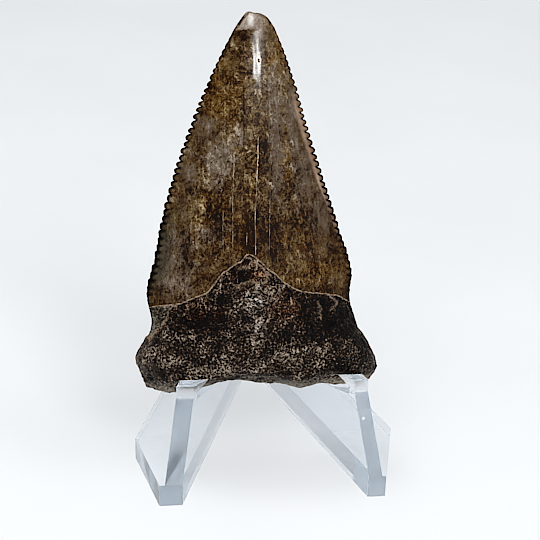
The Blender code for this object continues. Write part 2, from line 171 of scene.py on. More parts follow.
# The tooth. Its own axes, in mm, are u to its right, v up along it, and w out of its bulging face.
fossilTooth = {
    "at": (-1.15, -7.1, 10.9),  # where u = v = w = 0 is
    "lean": 20.0,
    # left and right sides, (u, v), from the root's corner to the worn tip
    "leftEdge": [(-14.7, 0.6), (-15.55, 2.9), (-16.0, 4.7), (-15.0, 6.2), (-14.2, 7.6), (-13.95, 9.1),
                 (-14.4, 12.3), (-13.2, 17.8), (-12.1, 23.2), (-9.85, 30.6), (-7.45, 36.8), (-4.8, 42.8),
                 (-2.45, 47.2)],
    "rightEdge": [(15.1, 0.6), (15.9, 2.0), (15.65, 3.9), (15.0, 5.4), (13.3, 8.2), (12.5, 11.0),
                  (12.65, 15.4), (11.0, 21.2), (9.3, 26.8), (7.15, 33.8), (5.4, 40.2), (4.15, 44.0),
                  (2.8, 47.4)],
    "rootBase": [(-14.7, 0.6), (-12.9, 0.0), (-8.0, 0.4), (-4.5, 1.2), (-0.5, 1.1), (3.0, 0.6),
                 (5.5, 0.0), (7.5, 0.4), (11.5, 0.1), (15.1, 0.6)],
    "wornTip": [(-2.45, 47.2), (-1.6, 48.6), (-0.45, 49.75), (0.4, 49.42), (1.7, 48.85), (2.8, 47.4)],
    # how far the front and back stand out from the cutting edges, (v, w)
    "frontDepth": [(0.0, 4.8), (2.5, 6.0), (6.0, 6.8), (9.0, 6.6), (12.0, 6.0), (20.0, 5.1),
                   (28.0, 4.2), (36.0, 3.2), (39.0, 2.75), (41.5, 2.3), (43.5, 1.88), (45.5, 1.45),
                   (47.0, 1.15), (49.5, 0.85)],
    "backDepth": [(0.0, 2.8), (5.0, 3.0), (14.0, 2.3), (28.0, 1.9), (40.0, 1.2), (46.0, 0.8),
                  (49.5, 0.5)],
    # how square the cross-sections of the root and of the blade are
    "frontPowers": (3.0, 2.1),
    "backPowers": (4.0, 3.5),
    "rootShare": 0.235,  # place along each side where the cutting edge starts
    "lineRow": 0.2445,  # the row that follows the enamel's edge, with others packed round it
    "packedRows": [-0.008, -0.006, -0.0042, -0.0028, -0.0017, -0.0008, 0.0, 0.0008, 0.0017, 0.0028, 0.0042],
    "rowGap": 0.0007,
    "baseBend": 0.12,  # the rows below this place bend to the base's outline, and above the next to the tip's
    "tipBend": 0.95,
    "enamelFrom": 7.5,  # the root's cross-section gives way to the blade's between these heights
    "enamelFull": 12.0,
    "rootRounding": 2.8,
    "tipRounding": 1.3,
    # where the enamel ends, (u, v), a little ragged: a raised chevron on the front and a shallow arch behind
    "frontLine": [(-16.5, 11.2), (-14.1, 11.2), (-12.1, 11.6), (-10.2, 12.1), (-8.0, 13.05), (-6.9, 13.6),
                  (-6.1, 14.4), (-4.8, 16.1), (-3.9, 16.8), (-2.35, 17.7), (-1.8, 18.4), (-1.3, 18.5),
                  (-0.6, 18.1), (0.8, 16.8), (2.3, 15.4), (3.9, 14.1), (5.6, 13.3), (8.0, 12.9),
                  (11.0, 12.1), (12.3, 11.1), (16.5, 10.9)],
    "backLine": [(-16.5, 11.2), (-13.0, 11.2), (-9.0, 10.6), (-5.0, 11.6), (0.0, 12.6), (5.0, 11.5),
                 (9.0, 10.5), (12.3, 11.1), (16.5, 10.9)],
    "lineRagged": 0.14,
    "beads": 41,  # serrations on each cutting edge, a little under 1 mm apart
    "widthSpread": 0.28,  # how uneven they are in width and in height
    "sizeSpread": 0.3,
    # how deep the gaps between them are, (v, mm), and how much of that the right side has
    "beadDepth": [(11.0, 0.0), (14.5, 0.52), (35.0, 0.5), (39.0, 0.38), (42.5, 0.2), (45.5, 0.1),
                  (47.2, 0.0)],
    "rightShare": 0.78,
    "fullDepth": 0.4,  # mm; where the gaps are this deep, the beads swell in full
    "beadSink": 0.68,  # share of a bead's height that lies inside the smooth outline
    "beadSwell": 0.2,
    "beadGroove": 0.2,
    "rowsPerBead": 9,
    "rootRows": 84,
    "frontColumns": 130,
    "backColumns": 44,
    "bladeCrowding": 0.45,  # how far the columns crowd towards the rims
    "rootCrowding": 0.75,
    "seed": 41,
    # thin raised lines beside and under the chevron: height, half width and points
    "rootLines": {
        "sideLine": (0.05, 0.07, [(-1.7, 18.15), (-0.9, 17.8), (-0.2, 17.2), (0.6, 16.4), (1.2, 15.8)]),
        "leftBranch": (0.08, 0.14, [(-11.2, 11.75), (-11.6, 11.2), (-11.9, 10.1), (-12.3, 9.6), (-12.7, 9.2),
                                    (-13.4, 8.3), (-14.4, 7.0)]),
        "rightHook": (0.06, 0.09, [(9.2, 12.5), (9.95, 11.85), (10.5, 11.3), (10.0, 10.85), (9.4, 10.6)]),
        "wavyLine": (0.06, 0.09, [(7.7, 11.75), (8.1, 10.95), (7.75, 10.4), (7.9, 9.7)]),
        "curl": (0.08, 0.1, [(0.2, 16.7), (0.8, 16.0), (0.85, 15.3), (0.3, 14.8), (-0.5, 14.7), (-1.4, 15.1),
                             (-2.3, 14.7)]),
        "thinLine": (0.05, 0.08, [(-2.8, 16.75), (-2.1, 16.85), (-1.5, 16.8)]),
        "archLine": (0.06, 0.12, [(-3.4, 14.2), (-2.8, 14.5), (-2.3, 14.7)]),
    },
    "chipFoot": [(-2.6, 47.25), (-1.6, 47.15), (-0.7, 47.23), (0.15, 47.2)],  # where the worn tip steps down
    "chipDrop": 0.34,
    # u, v, half width, half height, and how deep or high
    "hollows": [(-2.7, 16.1, 1.6, 0.8, 0.3), (-6.2, 19.1, 0.3, 0.25, 0.12), (0.56, 43.2, 0.13, 0.16, 0.03),
                (-0.37, 40.4, 0.2, 0.2, 0.08), (-1.75, 35.1, 0.2, 0.3, 0.08)],
    "bosses": [(-0.8, 12.5, 1.5, 1.3, 0.45), (-0.6, 8.6, 1.2, 1.1, 0.35), (-11.6, 5.6, 1.8, 1.6, 0.3),
               (-4.3, 5.8, 1.5, 1.2, 0.25), (12.6, 4.6, 1.8, 1.6, 0.3), (5.0, 8.5, 2.0, 1.2, 0.2),
               (-8.2, 9.4, 1.5, 1.2, 0.2)],
    "ridge": 0.085,  # height and half width of the raised edge of the enamel
    "rootStep": 0.07,
    # relief by noise: height in mm, bumps to a mm, octaves, stretch and shift
    "relief": {
        "enamelWaves": (0.05, 0.22, 1, (1.6, 0.35, 1), 7.3),
        "enamelRipples": (0.015, 1.1, 1, (1.8, 0.25, 1), 2.1),
        "rootLumps": (0.3, 0.32, 3, (1, 1, 1), 11.7),
        "rootBumps": (0.17, 0.95, 2, (1, 1, 1), 3.9),
        "rootGrit": (0.07, 2.6, 2, (1, 1, 1), 5.1),
        "rootFibres": (0.06, 1.9, 1, (1, 0.22, 1), 8.8),
    },
    "bumpSink": 0.0425,  # mm; the root's bumps all rise, so the root lies this much lower
    # soft patches of colour: u, v, half width, half height, strength
    "ochrePatches": [
        (2.8, 43.8, 1.2, 1.6, 0.9), (-4.2, 42.6, 0.9, 1.4, 0.5), (-5.3, 39.6, 1.2, 2.4, 1.0),
        (-3.9, 37.3, 2.6, 1.8, 0.9), (-2.0, 40.0, 1.6, 1.6, 0.5), (3.9, 31.5, 0.7, 3.8, 1.3),
        (-0.9, 27.5, 1.3, 5.2, 0.5), (-7.1, 25.2, 0.8, 1.3, 0.8), (-7.9, 22.4, 0.6, 1.0, 0.7),
        (7.5, 15.5, 4.2, 2.4, 0.6), (4.5, 21.0, 2.5, 3.0, 0.4), (-10.4, 14.4, 1.1, 0.8, 0.6),
        (-1.6, 20.9, 1.6, 3.2, 1.0), (-4.6, 22.0, 2.0, 3.0, 0.4), (0.5, 37.0, 1.0, 2.2, 0.4)],
    # grey-lilac patches: partly the enamel's own tone and partly a painted soft sheen where it is smooth
    "greyPatches": [
        (-6.6, 34.6, 1.2, 1.6, 0.7), (-5.0, 30.5, 1.9, 3.2, 0.9), (2.6, 34.8, 1.0, 5.8, 1.1),
        (4.9, 35.0, 1.1, 4.8, 0.9), (2.6, 28.0, 1.0, 2.8, 0.9), (6.0, 28.5, 1.4, 4.0, 1.0),
        (0.9, 46.2, 0.8, 1.6, 0.6), (-8.4, 29.0, 1.4, 3.0, 0.6), (-6.2, 21.0, 2.6, 2.6, 0.45),
        (8.4, 23.0, 1.5, 3.2, 0.9), (-2.6, 33.0, 1.3, 0.8, 0.6), (-9.6, 24.5, 0.9, 2.4, 0.5),
        (-10.8, 16.8, 3.0, 4.6, 0.75)],
    "darkPatches": [
        (-1.5, 46.5, 1.6, 0.7, 0.7), (-2.4, 41.6, 1.5, 0.7, 0.4), (-3.4, 44.4, 1.6, 2.0, 0.28),
        (-1.4, 20.9, 1.1, 3.2, 1.3), (-2.4, 22.0, 2.6, 3.4, 0.5), (0.4, 21.5, 2.6, 3.5, 0.55),
        (2.2, 18.5, 2.6, 2.2, 0.35), (-9.0, 20.0, 2.4, 2.6, 0.4), (-5.4, 18.9, 0.7, 0.6, 0.8),
        (-4.6, 22.5, 2.4, 3.4, 0.65), (7.5, 18.5, 5.0, 4.0, 0.22), (-7.5, 16.0, 4.0, 2.0, 0.35),
        (0.9, 31.6, 0.9, 2.0, 0.7), (5.4, 24.0, 2.2, 2.6, 0.4), (-12.6, 16.5, 1.6, 4.5, 0.35),
        (-1.0, 36.0, 0.8, 2.0, 0.35), (-5.8, 37.5, 1.6, 3.6, 0.34), (-3.2, 44.0, 0.9, 3.0, 0.2),
        # below the enamel
        (-2.7, 15.9, 1.8, 0.9, 1.0), (0.0, 16.6, 0.8, 0.6, 0.6), (-8.5, 9.8, 3.2, 2.1, 0.75),
        (10.0, 9.5, 4.0, 2.6, 1.0), (6.0, 10.0, 2.8, 1.8, 0.6), (12.8, 5.5, 2.2, 2.6, 0.5),
        (-5.5, 12.3, 1.0, 1.0, 0.4)],
    "smoothPatches": [
        (-6.6, 34.4, 1.2, 1.8, 0.9), (2.8, 34.5, 0.9, 6.5, 0.9), (5.3, 34.0, 1.0, 5.5, 0.8),
        (2.6, 27.5, 0.8, 3.4, 0.8), (6.4, 28.0, 1.4, 4.2, 0.8), (-9.0, 28.5, 1.3, 2.6, 0.7),
        (1.0, 46.5, 1.2, 1.8, 0.8), (8.8, 22.5, 1.4, 3.4, 0.8), (-9.8, 24.8, 0.9, 2.2, 0.6),
        (-4.4, 30.5, 1.3, 2.8, 0.8)],
    # lighter patches; the small one on the worn tip is a painted highlight
    "lightPatches": [
        (-6.1, 31.6, 0.5, 1.2, 0.7), (-6.3, 27.6, 0.35, 1.1, 0.8), (-1.3, 34.1, 1.6, 0.7, 0.5),
        (1.9, 36.6, 0.5, 0.9, 0.4), (-7.4, 25.2, 0.6, 0.7, 0.7), (-8.3, 22.2, 0.8, 1.8, 0.7),
        (-8.2, 19.2, 0.6, 0.4, 0.7), (-10.6, 14.4, 0.9, 0.6, 0.8), (4.6, 29.6, 0.5, 0.6, 0.5),
        (7.4, 17.6, 1.6, 0.9, 0.4), (2.9, 23.6, 0.5, 1.2, 0.5), (3.2, 38.6, 0.9, 1.2, 0.4),
        (2.5, 41.4, 1.3, 3.0, 0.3), (-0.4, 48.6, 0.5, 0.6, 0.6), (-5.6, 30.5, 2.6, 4.0, 0.15),
        # below the enamel, where the freckles are thicker, and painted highlights on the two central bosses
        (-11.8, 5.4, 2.0, 2.0, 0.6), (-4.2, 5.7, 1.4, 1.3, 0.8), (0.0, 4.4, 9.0, 2.0, 0.45),
        (-0.8, 12.4, 1.3, 1.0, 0.6), (-0.6, 8.6, 1.1, 0.9, 0.4), (-1.5, 14.0, 2.2, 0.5, 0.4),
        (1.0, 13.8, 1.4, 0.5, 0.4), (8.5, 5.0, 3.0, 1.5, 0.3), (0.0, 15.8, 0.7, 0.6, 0.9)],
    "rustPatches": [
        (-7.6, 10.4, 1.2, 1.1, 0.8), (3.3, 11.4, 2.2, 1.6, 0.6), (-5.8, 11.0, 1.0, 0.8, 0.5),
        (-2.2, 16.2, 1.8, 1.2, 0.7), (-8.5, 12.0, 1.5, 0.8, 0.4), (0.0, 15.8, 0.8, 0.7, 0.9)],
    # polished spots, each under a glaze; on the root's two bosses they also carry a painted highlight
    "polishPatches": [
        (0.5, 43.4, 1.3, 2.0, 1.0), (-0.75, 12.3, 1.0, 0.65, 1.0), (-0.5, 8.8, 0.45, 0.7, 0.9)],
    # thin cracks and scratches in the enamel: the way each runs, 1 for pale or -1 for dark, its half width,
    # its course, and how clear it is along that, so that most are broken
    "marks": [
        ("v", 1, 0.06, [(18.4, -0.6), (21.0, -0.53), (23.5, -0.52), (26.0, -0.32), (29.0, -0.1),
                        (31.0, 0.05), (33.6, 0.14)],
         [(18.0, 0.6), (20.6, 0.95), (21.6, 0.35), (23.6, 0.75), (25.2, 0.2), (27.2, 0.6), (29.4, 1.0),
          (32.6, 0.9), (33.7, 0.0)]),
        ("v", 1, 0.045, [(18.9, -3.5), (25.4, -3.36), (28.0, -3.2), (31.8, -2.93)],
         [(18.9, 0.1), (21.0, 0.5), (22.0, 0.15), (24.6, 0.55), (26.5, 0.25), (29.0, 0.7), (31.8, 0.0)]),
        ("v", 1, 0.04, [(18.6, 1.2), (22.5, 1.35), (26.6, 1.52)],
         [(18.6, 0.0), (20.0, 0.5), (22.6, 0.3), (24.4, 0.5), (26.6, 0.0)]),
        ("v", 1, 0.04, [(18.3, -4.68), (21.0, -4.7), (24.2, -4.6)],
         [(18.3, 0.0), (20.0, 0.45), (22.4, 0.2), (23.4, 0.4), (24.2, 0.0)]),
        ("v", 1, 0.05, [(19.7, -1.7), (21.3, -1.62)], [(19.7, 0.3), (20.6, 0.6), (21.3, 0.2)]),
        ("v", -1, 0.065, [(30.5, -1.75), (36.9, -1.63), (41.0, -1.5)],
         [(30.5, 0.1), (32.0, 0.6), (34.6, 1.0), (35.4, 0.7), (37.5, 0.9), (39.6, 0.7), (41.0, 0.2)]),
        ("u", -1, 0.07, [(-1.9, 41.75), (-0.9, 41.6), (-0.1, 41.42)],
         [(-1.9, 0.2), (-1.6, 0.9), (-0.8, 1.0), (-0.3, 1.0), (-0.1, 0.2)]),
        ("u", -1, 0.07, [(-1.8, 30.6), (-0.8, 31.25), (0.1, 31.9)], [(-1.8, 0.5), (-0.8, 1.0), (0.1, 0.4)]),
        ("u", -1, 0.05, [(-6.9, 24.9), (-6.2, 23.6), (-5.1, 22.6), (-4.0, 21.4)],
         [(-6.9, 0.3), (-6.0, 0.9), (-5.2, 0.8), (-4.0, 0.2)]),
        ("u", -1, 0.05, [(1.1, 22.6), (2.4, 23.1), (3.2, 24.3)], [(1.1, 0.2), (2.2, 0.7), (3.2, 0.2)]),
    ],
    # noise patterns: bumps to a mm, detail, roughness and distortion
    "grains": {
        "flecks": (2.5, 5.0, 0.82, 0.2),  # specks of 0.4 mm and finer
        "curls": (1.3, 1.0, 0.5, 1.3),
        "clouds": (0.5, 3.0, 0.6, 0.0),
        "grit": (3.4, 3.0, 0.7, 0.0),
        "grime": (0.45, 3.0, 0.6, 0.0),
        "dashes": (2.3, 1.0, 0.5, 0.0),
        "gaps": (2.4, 2.0, 0.6, 0.0),
    },
    # location and stretch first, then bumps to a mm, detail and roughness
    "shiftedGrains": {
        "tints": ((31.0, 9.0, 4.0), (1.0, 1.0, 1.0), 0.7, 3.0, 0.65),
        "streaks": ((0.0, 0.0, 0.0), (2.4, 0.2, 1.0), 1.0, 3.0, 0.65),
        "fibres": ((0.0, 0.0, 0.0), (2.6, 0.6, 1.0), 1.0, 2.0, 0.6),
    },
    # how the strokes and the cracks wander: bumps to a mm, and how far
    "wander": [(0.9, 1.6), (1.5, 0.22)],
    # strokes 0.26 mm wide and 1.7 mm long: how far turned, the noise value they start at, and lift in tone
    "hairs": [(8, 0.56, 0.3), (38, 0.6, 0.29), (-35, 0.56, -0.27), (-70, 0.6, -0.21)],
    "hairSize": (0.26, 1.7, 1.0),
    # colours by tone, from dark to light
    "brown": [(0.0, "#180b02"), (0.08, "#2c1806"), (0.16, "#382410"), (0.33, "#4a3820"), (0.5, "#5d4b32"),
              (0.67, "#73624a"), (0.95, "#a39480")],
    "ochre": [(0.0, "#1c0d01"), (0.08, "#331b04"), (0.16, "#40280b"), (0.33, "#543d1b"), (0.5, "#69512f"),
              (0.67, "#806c4e"), (0.95, "#a99a7c")],
    "grey": [(0.0, "#1e140b"), (0.08, "#3a2b1f"), (0.16, "#46372a"), (0.33, "#56483a"), (0.5, "#64574a"),
             (0.67, "#776b5e"), (0.95, "#9e9589")],
    "pink": [(0.3, "#745c4b"), (0.5, "#8d7562"), (0.75, "#ab9380")],
    "wornEnamel": [(0.3, "#66574b"), (0.5, "#8b7c70"), (0.68, "#b3a79b")],
    "root": [(0.0, "#050201"), (0.22, "#1a0f08"), (0.42, "#3a2c21"), (0.68, "#6f6153"), (1.0, "#b6a899")],
    "rust": [(0.04, "#0d0402"), (0.25, "#33180a"), (0.5, "#633a1e"), (0.9, "#a98864")],
    "shoulder": [(0.1, "#150f0a"), (0.35, "#41382c"), (0.6, "#675d4d"), (0.9, "#a59b8c")],
    "paleMark": "#c2b4a1",
    "darkMark": "#0d0602",
    "murk": "#30332b",
    "blackRimAndShade": "#070402",
    "tipPaintedHighlight": "#f6f3f0",
    "bossPaintedHighlight": "#d9d2c9",
    "tanCrest": "#957f69",
    "seamAndRidgeHighlight": "#a8937e",
    "sockets": {"Coat Roughness": 0.19, "Coat IOR": 1.5, "IOR": 1.55, "Specular IOR Level": 0.13},
}


def rowPlaces(shape):
    # places 0 to 1 up the sides: close at the base, even up the edge, and packed at the enamel line
    root = shape["rootShare"] * np.linspace(0.0, 1.0, shape["rootRows"], endpoint=False) ** 1.4
    edge = np.linspace(shape["rootShare"], 1.0, shape["beads"] * shape["rowsPerBead"] + 1)
    rows = np.concatenate([root, edge])
    packed = shape["lineRow"] + np.array(shape["packedRows"])
    clear = np.abs(rows[:, None] - packed[None, :]).min(1) > shape["rowGap"]
    return np.sort(np.concatenate([rows[clear], packed]))


def ballProfile(phase):
    # 0 in the gap between two beads, 1 over the middle of one
    return np.sqrt(np.clip(1 - ((2 * phase - 1) / 0.8) ** 2, 0, 1))


def beadOffsets(shape, places, v, side):
    # how far the cutting edge stands out at each row: round beads of uneven size
    random = np.random.default_rng(shape["seed"] + side)
    widths = 1 + shape["widthSpread"] * (random.random(shape["beads"]) - 0.5)
    sizes = 1 + shape["sizeSpread"] * (random.random(shape["beads"]) - 0.5)
    ends = np.concatenate([[0.0], np.cumsum(widths)]) / widths.sum()
    share = np.clip((places - shape["rootShare"]) / (1 - shape["rootShare"]), 0, 1)
    bead = np.clip(np.searchsorted(ends, share, side="right") - 1, 0, shape["beads"] - 1)
    phase = (share - ends[bead]) / (ends[bead + 1] - ends[bead])
    depth = np.interp(v, *np.transpose(shape["beadDepth"])) * (shape["rightShare"] if side else 1.0)
    fading = np.clip(depth / shape["fullDepth"], 0, 1)
    height = depth * (sizes[bead] * ballProfile(phase) - shape["beadSink"])
    return height, phase, fading


def sideGrid(shape, columns, line):
    # (u, v) at every row and column of one face, with a row that follows its enamel line
    x = np.linspace(-1.0, 1.0, columns + 1)
    lineRow = shape["lineRow"]
    rows = rowPlaces(shape)
    tries = np.linspace(0.0, 1.0, 1500)
    left, right = smoothCurve(shape["leftEdge"], tries), smoothCurve(shape["rightEdge"], tries)
    lineU, lineV = np.transpose(line)
    across, rounder = [(1 - shape[name]) * x + shape[name] * np.sin(x * pi / 2)
                       for name in ("bladeCrowding", "rootCrowding")]
    share = (across + 1) / 2
    shift = []
    for s in share:
        middle = left * (1 - s) + right * s
        above = middle[:, 1] - np.interp(middle[:, 0], lineU, lineV)
        first = int(np.argmax(above > 0))
        between = -above[first - 1] / (above[first] - above[first - 1])
        shift.append(tries[first - 1] + between * (tries[1] - tries[0]) - lineRow)
    shift = np.array(shift)
    shift[0] = shift[-1] = 0.0  # both faces share their rims
    below = np.clip(rows / lineRow, 0, 1)
    beyond = 1 - np.clip((rows - lineRow) / (1 - lineRow), 0, 1)
    weight = np.where(rows < lineRow, below, beyond ** 2)
    places = rows[:, None] + weight[:, None] * shift[None, :]
    left, right = [smoothCurve(shape[name], places.ravel()).reshape(*places.shape, 2)
                   for name in ("leftEdge", "rightEdge")]
    root = 1 - smoothStep(shape["enamelFrom"], shape["enamelFull"], (left[:, :1, 1] + right[:, -1:, 1]) / 2)
    share = (root * rounder + (1 - root) * across + 1)[..., None] / 2
    grid = left * (1 - share) + right * share
    lowBend = (1 - np.clip(places / shape["baseBend"], 0, 1)) ** 2
    highBend = np.clip((places - shape["tipBend"]) / (1 - shape["tipBend"]), 0, 1) ** 2
    for name, end, bend in (("rootBase", 0, lowBend), ("wornTip", -1, highBend)):
        rim = smoothCurve(shape[name], share[end, :, 0])
        grid = grid + (rim - grid[end])[None] * bend[..., None]
    return grid, share[..., 0] * 2 - 1, rows


def faceDepth(shape, grid, tau, table, powers):
    # how far a face stands out at each place, with tau from 0 in the middle to 1 at the rims
    v = grid[..., 1]
    rootPower, bladePower = powers
    blade = smoothStep(shape["enamelFrom"], shape["enamelFull"], v)
    ends = roundOver(v - v[0], shape["rootRounding"]) * roundOver(v[-1] - v, shape["tipRounding"])
    side = (1 - blade) * np.sqrt(1 - tau ** rootPower) + blade * (1 - tau ** bladePower)
    return np.interp(v, *np.transpose(table)) * side * ends


def buildFace(shape, isFront):
    # places (u, v, w) of one face, and the measures that relief and colour are worked out from
    name = "front" if isFront else "back"
    line, depths, powers, columns = [shape[name + part] for part in ("Line", "Depth", "Powers", "Columns")]
    grid, across, rows = sideGrid(shape, columns, line)
    w = (1 if isFront else -1) * faceDepth(shape, grid, np.abs(across), depths, powers)
    u, v = grid[..., 0].copy(), grid[..., 1].copy()
    lineU, lineV = np.transpose(line)
    slope = np.interp(u, (lineU[1:] + lineU[:-1]) / 2, np.diff(lineV) / np.diff(lineU))
    above = (v - np.interp(u, lineU, lineV)) / np.hypot(1, slope)
    course = u.reshape(-1, 1) * (1, 0, 0)
    above += (shape["lineRagged"] * noiseField(course, 0.9, 3, shift=4.2)).reshape(u.shape)
    fromLeft, fromRight = u - u[:, :1], u[:, -1:] - u
    rim = np.minimum(fromLeft, fromRight)
    phase, beaded = np.zeros(u.shape), np.zeros(u.shape)
    for side, edge, distance in ((0, 0, fromLeft), (1, -1, fromRight)):
        height, beadAt, fading = beadOffsets(shape, rows, v[:, edge], side)
        isNearest = distance <= rim + 1e-9
        near = (1 - smoothStep(0.05, 0.75, distance)) * isNearest
        u += (1 if side else -1) * height[:, None] * near
        # each bead swells, and grooves between the beads run a little way in from the edge
        ball = ballProfile(beadAt)[:, None]
        swell = shape["beadSwell"] * ball * np.exp(-((distance - 0.22) / 0.22) ** 2)
        groove = shape["beadGroove"] * (1 - ball) * (1 - smoothStep(0.25, 1.0, distance))
        inside = smoothStep(0, 0.1, distance) * isNearest
        w += np.where(w < 0, -1, 1) * fading[:, None] * (swell - groove) * inside
        phase = np.where(isNearest, beadAt[:, None], phase)
        beaded = np.where(isNearest, fading[:, None], beaded)
    places = np.stack([u, v, w], -1)
    return {"places": places, "above": above, "rim": rim, "phase": phase, "beaded": beaded,
            "side": np.where(fromLeft < fromRight, -1.0, 1.0), "front": np.full(u.shape, float(isFront))}


def sewFaces(front, back):
    # one closed mesh: the back's rim points are the front's
    rows, frontColumns = front["rim"].shape
    backColumns = back["rim"].shape[1]
    frontIndex = np.arange(rows * frontColumns).reshape(rows, frontColumns)
    backIndex = np.full((rows, backColumns), -1)
    inside = (slice(1, rows - 1), slice(1, backColumns - 1))
    backIndex[inside] = frontIndex.size + np.arange((rows - 2) * (backColumns - 2)).reshape(rows - 2, -1)
    backIndex[:, 0], backIndex[:, -1] = frontIndex[:, 0], frontIndex[:, -1]
    merged = {name: np.concatenate([front[name].reshape(frontIndex.size, -1),
                                    back[name][inside].reshape((rows - 2) * (backColumns - 2), -1)])
              for name in front}
    faces = []
    for index, first in ((frontIndex, 0), (backIndex, 1)):
        for j in range(index.shape[1] - 1):
            for i in range(first, rows - 1 - first):
                corners = (index[i, j], index[i, j + 1], index[i + 1, j + 1], index[i + 1, j])
                faces.append(corners[::-1] if first else corners)
    for i, inner in ((0, 1), (rows - 1, rows - 2)):  # close the base and the tip onto the front's end rows
        outer, inward = list(frontIndex[i]), list(backIndex[inner])
        faces += closeStrip(outer, inward, flip=i == 0)
    return merged, faces


def closeStrip(outer, inward, flip):
    # triangles between two rows of unlike counts, with one that leans on the inward row at each end
    faces = []
    a, b = 0, 0
    while a < len(outer) - 1 or b < len(inward) - 1:
        isLate = b >= len(inward) - 2 or (a + 1) / len(outer) <= (b + 1) / len(inward)
        if a < len(outer) - 1 and b > 0 and isLate:
            face = (outer[a], outer[a + 1], inward[b])
            a += 1
        else:
            face = (outer[a], inward[b + 1], inward[b])
            b += 1
        faces.append(face[::-1] if flip else face)
    return faces


def chipMask(u, v):
    # 1 on the worn facet at the tip, whose foot is a sharp step on the left and fades out on the right
    foot = np.interp(u, *np.transpose(fossilTooth["chipFoot"]))
    return smoothStep(-0.05, 0.05, v - foot) * (1 - smoothStep(-0.2, 1.0, u))


def bareMask(u, v):
    # 1 on the smooth shoulder left of the branch that drops from the enamel's edge
    branch = np.array(fossilTooth["rootLines"]["leftBranch"][2])[::-1]
    edge = np.interp(v, branch[:, 1], branch[:, 0])
    return smoothStep(0.12, -0.12, u - edge) * smoothStep(6.6, 8.0, v)


def lineMask(u, v):
    # 1 on the thin lines of the root, whose crests are tan
    return np.max([np.exp(-(lineDistance(u, v, points) / 0.12) ** 2)
                   for tall, wide, points in fossilTooth["rootLines"].values()], 0)


def reliefHeight(places, measures):
    # how far each place is raised along its normal
    u, v = places.T[:2]
    shape = fossilTooth
    above, rim, front = measures["above"][:, 0], measures["rim"][:, 0], measures["front"][:, 0]
    root = smoothStep(0.05, -0.12, above) * (1 - 0.7 * bareMask(u, v) * front)
    waves, ripples, lumps, bumps, grit, fibres = [
        tall * noiseField(places, *pattern) for tall, *pattern in shape["relief"].values()]
    height = (1 - root) * (waves + ripples)
    height += shape["ridge"] * np.exp(-(above / shape["ridge"]) ** 2)
    height += root * shape["rootStep"] * smoothStep(0.0, -0.9, above)
    height += root * (0.4 + 0.6 * smoothStep(-0.1, -1.2, above)) * lumps
    height += root * (np.abs(bumps) - shape["bumpSink"] + grit)
    height += root * front * smoothStep(-3.2, -1.0, above) * fibres
    for tall, wide, points in shape["rootLines"].values():
        height += front * tall * np.exp(-(lineDistance(u, v, points) / wide) ** 2)
    for spots, share in ((shape["hollows"], -front), (shape["bosses"], front * root)):
        for atU, atV, halfU, halfV, tall in spots:
            height += share * tall * np.exp(-((u - atU) / halfU) ** 2 - ((v - atV) / halfV) ** 2)
    height -= front * shape["chipDrop"] * chipMask(u, v)
    # nothing moves right at the thin cutting edge
    return height * np.where(v > shape["enamelFull"], smoothStep(0.0, 0.5, rim), 1.0)


def patchValues(u, v, patches):
    total = np.zeros(u.shape)
    for atU, atV, halfU, halfV, strength in patches:
        away = ((u - atU) / halfU) ** 2 + ((v - atV) / halfV) ** 2
        total = np.maximum(total, strength * np.exp(-0.8 * away))
    return np.clip(total, 0, 1)


def storeNumbers(mesh, named):
    # numbers at each point for the material to read: one, three or four of each name
    kinds = {1: ("FLOAT", "value"), 3: ("FLOAT_VECTOR", "vector"), 4: ("FLOAT_COLOR", "color")}
    for name, values in named.items():
        values = np.asarray(values, np.float32).reshape(len(mesh.vertices), -1)
        kind, field = kinds[values.shape[1]]
        mesh.attributes.new(name, kind, "POINT").data.foreach_set(field, values.ravel())


